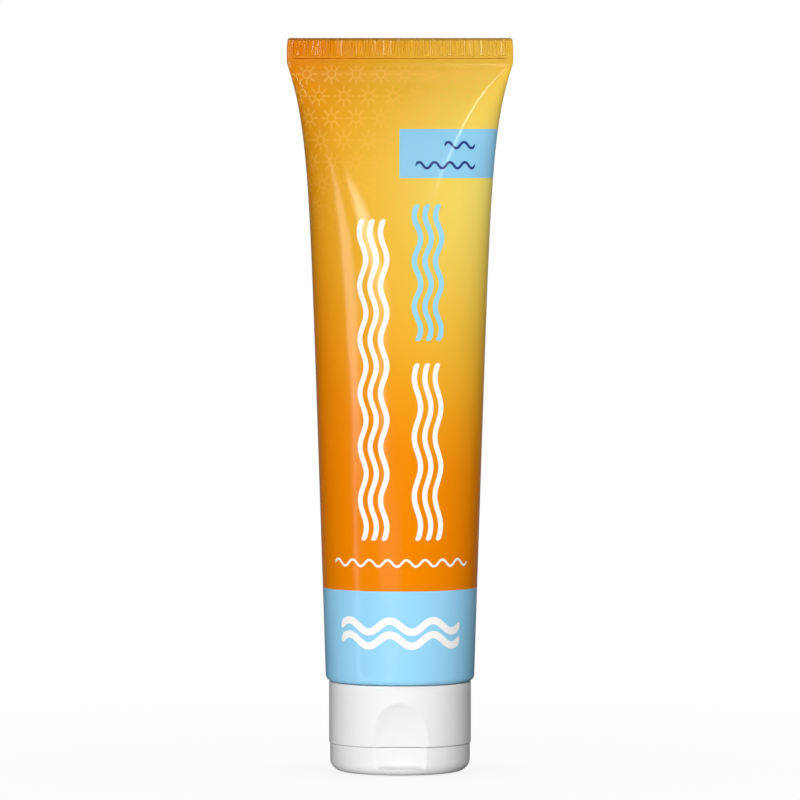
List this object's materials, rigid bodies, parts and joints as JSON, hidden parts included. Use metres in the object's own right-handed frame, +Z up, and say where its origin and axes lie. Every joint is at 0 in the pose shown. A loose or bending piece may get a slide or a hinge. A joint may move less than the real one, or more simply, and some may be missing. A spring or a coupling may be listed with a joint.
{
  "type": "flip-top squeeze tube",
  "caption": "Squeeze tube of sun lotion standing on its screw cap: a film sleeve pressed flat and sealed at the top, a threaded shoulder, and a flip-top cap whose hinged lid opens.",
  "frame": {"origin": "centre of the lid's flat face, on which the tube stands", "axes": "+Z up along the tube's axis to its end seal, -Y towards the thumb recess and the printed front, +X to the right seen from the front"},
  "size_m": [0.0534, 0.035, 0.1728],
  "materials": {
    "printed_film": "satin",
    "natural_plastic": "satin",
    "lotion": "gloss",
    "washer_foam": "matte",
    "white_plastic": "satin"
  },
  "bodies": {
    "tube": {"tube_sleeve": "printed_film", "tube_shoulder": "natural_plastic", "lotion_fill": "lotion"},
    "washer": {"sealing_washer": "washer_foam"},
    "cap": {"cap_base": "white_plastic", "film_hinge": "white_plastic", "hinge_strap_left": "white_plastic", "hinge_strap_right": "white_plastic"},
    "lid": {"flip_lid": "white_plastic"}
  },
  "joints": [
    {"name": "cap_lift", "type": "slide", "parent": "tube", "child": "washer", "axis": [0, 0, -1], "range_m": [0, 0.0075]},
    {"name": "cap_spin", "type": "hinge", "parent": "washer", "child": "cap", "pos_m": [0, 0, 0.0092], "axis": [0, 0, -1], "range_deg": [0, 1080]},
    {"name": "lid_hinge", "type": "hinge", "parent": "cap", "child": "lid", "pos_m": [0, 0.01705, 0.0067], "axis": [1, 0, 0], "range_deg": [0, 180], "deforming": ["film_hinge", "hinge_strap_left", "hinge_strap_right"]}
  ],
  "couplings": [
    {"joint": "cap_lift", "follows": "cap_spin", "m_per_rad": 0.00039788}
  ]
}
